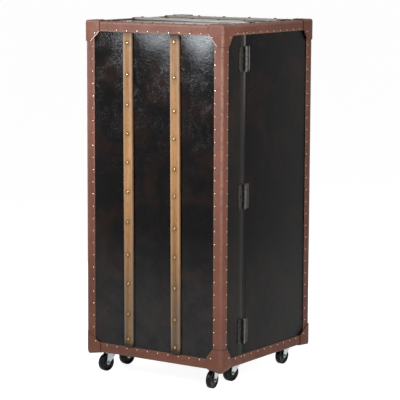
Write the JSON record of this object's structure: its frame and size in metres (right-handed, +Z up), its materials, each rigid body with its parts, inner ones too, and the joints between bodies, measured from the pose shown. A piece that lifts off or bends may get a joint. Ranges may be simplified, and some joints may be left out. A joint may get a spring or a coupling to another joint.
{
  "type": "bar trunk",
  "caption": "Upright leather-covered bar trunk on swivel casters, with a deep hinged front door, wooden slats, and shelves, a drawer, a glass rack and bottle cells inside.",
  "frame": {"origin": "on the floor, under the middle of the case", "axes": "+Z up; the door faces -Y; the hinges are on +X and the hasp on -X"},
  "size_m": [0.5565, 0.5541, 1.1826],
  "materials": {
    "black_leather": "glossy aged black leather over board",
    "brown_leather": "matte brown leather",
    "slat_wood": "satin light wood",
    "cabinet_wood": "satin dark wood",
    "brass": "aged brass",
    "black_metal": "dark bronze",
    "steel": "brushed",
    "zinc": "zinc plated",
    "black_rubber": "smooth black"
  },
  "bodies": {
    "case": {"body_back_panel": "black_leather", "body_left_panel": "black_leather", "body_right_panel": "black_leather", "body_top_panel": "black_leather", "body_bottom_panel": "black_leather", "body_edge_binding": "brown_leather", "body_top_left_cap": "brown_leather", "body_top_right_cap": "brown_leather", "body_bottom_left_cap": "brown_leather", "body_bottom_right_cap": "brown_leather", "top_front_slat": "slat_wood", "top_rear_slat": "slat_wood", "upper_hinge_body_leaf": "black_metal", "middle_hinge_body_leaf": "black_metal", "lower_hinge_body_leaf": "black_metal", "upper_hinge_pin": "steel", "middle_hinge_pin": "steel", "lower_hinge_pin": "steel", "hasp_keeper": "brass", "bottle_rack": "cabinet_wood", "drawer_shelf": "cabinet_wood", "work_shelf": "cabinet_wood", "upper_shelf": "cabinet_wood", "stemware_rack": "cabinet_wood"},
    "door": {"door_front_panel": "black_leather", "door_left_panel": "black_leather", "door_right_panel": "black_leather", "door_top_panel": "black_leather", "door_bottom_panel": "black_leather", "door_edge_binding": "brown_leather", "door_top_left_cap": "brown_leather", "door_top_right_cap": "brown_leather", "door_bottom_left_cap": "brown_leather", "door_bottom_right_cap": "brown_leather", "front_left_slat": "slat_wood", "front_right_slat": "slat_wood", "upper_hinge_door_leaf": "black_metal", "middle_hinge_door_leaf": "black_metal", "lower_hinge_door_leaf": "black_metal", "hasp_plate": "brass", "door_lower_shelf": "cabinet_wood", "door_upper_shelf": "cabinet_wood", "door_lower_guard_rail": "brass", "door_middle_guard_rail": "brass", "door_upper_guard_rail": "brass"},
    "hasp": {"hasp": "brass"},
    "drawer": {"drawer": "cabinet_wood", "drawer_knob": "brass"},
    "door_left_caster": {"door_left_caster_fork": "zinc"},
    "door_left_wheel": {"door_left_caster_wheel": "black_rubber"},
    "door_right_caster": {"door_right_caster_fork": "zinc"},
    "door_right_wheel": {"door_right_caster_wheel": "black_rubber"},
    "front_left_caster": {"front_left_caster_fork": "zinc"},
    "front_left_wheel": {"front_left_caster_wheel": "black_rubber"},
    "front_right_caster": {"front_right_caster_fork": "zinc"},
    "front_right_wheel": {"front_right_caster_wheel": "black_rubber"},
    "rear_left_caster": {"rear_left_caster_fork": "zinc"},
    "rear_left_wheel": {"rear_left_caster_wheel": "black_rubber"},
    "rear_right_caster": {"rear_right_caster_fork": "zinc"},
    "rear_right_wheel": {"rear_right_caster_wheel": "black_rubber"}
  },
  "joints": [
    {"name": "door_hinge", "type": "hinge", "parent": "case", "child": "door", "pos_m": [0.273, -0.143, 0.6215], "axis": [0, 0, 1], "range_deg": [0, 170]},
    {"name": "hasp_swing", "type": "hinge", "parent": "door", "child": "hasp", "pos_m": [-0.2741, -0.173, 0.6215], "axis": [0, 0, 1], "range_deg": [0, 150]},
    {"name": "drawer_slide", "type": "slide", "parent": "case", "child": "drawer", "axis": [0, -1, 0], "range_m": [0, 0.15]},
    {"name": "door_left_swivel", "type": "hinge", "parent": "door", "child": "door_left_caster", "pos_m": [-0.212, -0.216, 0.06], "axis": [0, 0, 1], "continuous": true},
    {"name": "door_left_wheel_spin", "type": "hinge", "parent": "door_left_caster", "child": "door_left_wheel", "pos_m": [-0.21582, -0.23767, 0.029], "axis": [0.9848, -0.1736, 0], "continuous": true},
    {"name": "door_right_swivel", "type": "hinge", "parent": "door", "child": "door_right_caster", "pos_m": [0.212, -0.216, 0.06], "axis": [0, 0, 1], "continuous": true},
    {"name": "door_right_wheel_spin", "type": "hinge", "parent": "door_right_caster", "child": "door_right_wheel", "pos_m": [0.2143, -0.23788, 0.029], "axis": [0.9945, 0.1045, 0], "continuous": true},
    {"name": "front_left_swivel", "type": "hinge", "parent": "case", "child": "front_left_caster", "pos_m": [-0.212, -0.097, 0.06], "axis": [0, 0, 1], "continuous": true},
    {"name": "front_left_wheel_spin", "type": "hinge", "parent": "front_left_caster", "child": "front_left_wheel", "pos_m": [-0.21732, -0.11835, 0.029], "axis": [0.9703, -0.2419, 0], "continuous": true},
    {"name": "front_right_swivel", "type": "hinge", "parent": "case", "child": "front_right_caster", "pos_m": [0.212, -0.097, 0.06], "axis": [0, 0, 1], "continuous": true},
    {"name": "front_right_wheel_spin", "type": "hinge", "parent": "front_right_caster", "child": "front_right_wheel", "pos_m": [0.20743, -0.11852, 0.029], "axis": [0.9781, -0.2079, 0], "continuous": true},
    {"name": "rear_left_swivel", "type": "hinge", "parent": "case", "child": "rear_left_caster", "pos_m": [-0.212, 0.216, 0.06], "axis": [0, 0, 1], "continuous": true},
    {"name": "rear_left_wheel_spin", "type": "hinge", "parent": "rear_left_caster", "child": "rear_left_wheel", "pos_m": [-0.21582, 0.19433, 0.029], "axis": [0.9848, -0.1736, 0], "continuous": true},
    {"name": "rear_right_swivel", "type": "hinge", "parent": "case", "child": "rear_right_caster", "pos_m": [0.212, 0.216, 0.06], "axis": [0, 0, 1], "continuous": true},
    {"name": "rear_right_wheel_spin", "type": "hinge", "parent": "rear_right_caster", "child": "rear_right_wheel", "pos_m": [0.21123, 0.19401, 0.029], "axis": [0.9994, -0.0349, 0], "continuous": true}
  ]
}
